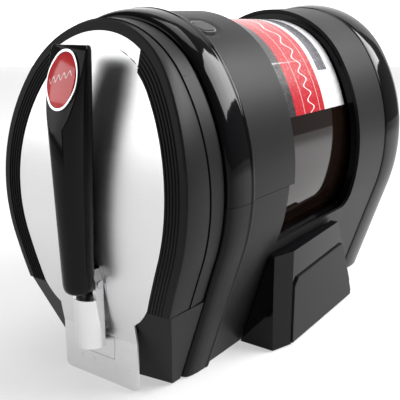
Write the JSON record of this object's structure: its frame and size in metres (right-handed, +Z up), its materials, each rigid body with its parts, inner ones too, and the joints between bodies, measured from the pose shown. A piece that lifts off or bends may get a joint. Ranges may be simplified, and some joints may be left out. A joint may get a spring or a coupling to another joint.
{
  "type": "home draught beer dispenser",
  "caption": "Barrel-shaped tabletop draught dispenser with a tap lever, side-opening lid, oval refill bottle and an air pump in the base.",
  "frame": {"origin": "on the table, at the middle of the overall width and depth", "axes": "+Z up, -Y towards the tap, +X to the side away from the lid hinge"},
  "size_m": [0.1978, 0.3679, 0.2674],
  "materials": {
    "brushed_silver": "brushed",
    "matte_black": "fine satin grain",
    "inner_black": "matte",
    "gloss_black": "high gloss",
    "dark_grey": "satin",
    "nozzle_black": "matte",
    "steel": "plain",
    "chrome_trim": "polished",
    "red_badge": "domed gloss",
    "pale_plastic": "plain",
    "rubber": "matte",
    "amber_bottle": "clear dark amber",
    "label_film": "printed film",
    "cell_wrap": "printed wrap",
    "board_green": "solder mask"
  },
  "bodies": {
    "base": {"face_plate": "brushed_silver", "front_bezel": "matte_black", "bezel_ribs": "matte_black", "bezel_collar": "matte_black", "front_chin": "matte_black", "front_frame": "inner_black", "tap_insert": "brushed_silver", "tap_barrel": "brushed_silver", "pour_nozzle": "nozzle_black", "pivot_pin": "steel", "valve_body": "inner_black", "body_hinge_leaf": "steel", "hinge_pin": "steel", "hoop_legs": "matte_black", "body_shell": "matte_black", "bay_lining": "gloss_black", "rear_hoop": "gloss_black", "back_cover": "inner_black", "pod_shells": "gloss_black", "pod_panels": "matte_black", "base_plate": "inner_black", "rubber_feet": "rubber", "cradle_ribs": "inner_black", "bottle": "amber_bottle", "bottle_cap": "pale_plastic", "bottle_label": "label_film", "beer_tube": "rubber", "pump_motor": "steel", "pump_head": "inner_black", "air_hose": "rubber", "battery_cells": "cell_wrap", "battery_tray": "inner_black", "circuit_board": "board_green", "power_socket": "nozzle_black", "cover_screws": "steel"},
    "tap_lever": {"lever": "gloss_black", "badge_ring": "chrome_trim", "badge": "red_badge"},
    "plunger": {"valve_plunger": "pale_plastic"},
    "lid": {"hoop_upper": "gloss_black", "lid_shell": "matte_black", "lid_hinge_leaf": "steel", "button_bezel": "dark_grey", "button_spring": "steel"},
    "button": {"release_button": "gloss_black"},
    "rotor": {"pump_rotor": "steel"}
  },
  "joints": [
    {"name": "lever_pull", "type": "hinge", "parent": "base", "child": "tap_lever", "pos_m": [0, -0.1612, 0.079], "axis": [1, 0, 0], "range_deg": [0, 24], "stiffness_Nm_per_rad": 0.9},
    {"name": "plunger_slide", "type": "slide", "parent": "base", "child": "plunger", "axis": [0, 1, 0], "range_m": [0, 0.0041]},
    {"name": "lid_hinge", "type": "hinge", "parent": "base", "child": "lid", "pos_m": [-0.0928, -0.0622, 0.134], "axis": [0, -1, 0], "range_deg": [0, 100]},
    {"name": "button_press", "type": "slide", "parent": "lid", "child": "button", "axis": [-0.4985, 0, -0.8669], "range_m": [0, 0.0014], "stiffness_N_per_m": 500},
    {"name": "rotor_spin", "type": "hinge", "parent": "base", "child": "rotor", "pos_m": [0.028, 0.0048, 0.02], "axis": [0, 1, 0], "continuous": true}
  ],
  "couplings": [
    {"joint": "plunger_slide", "follows": "lever_pull", "m_per_rad": 0.00955}
  ]
}
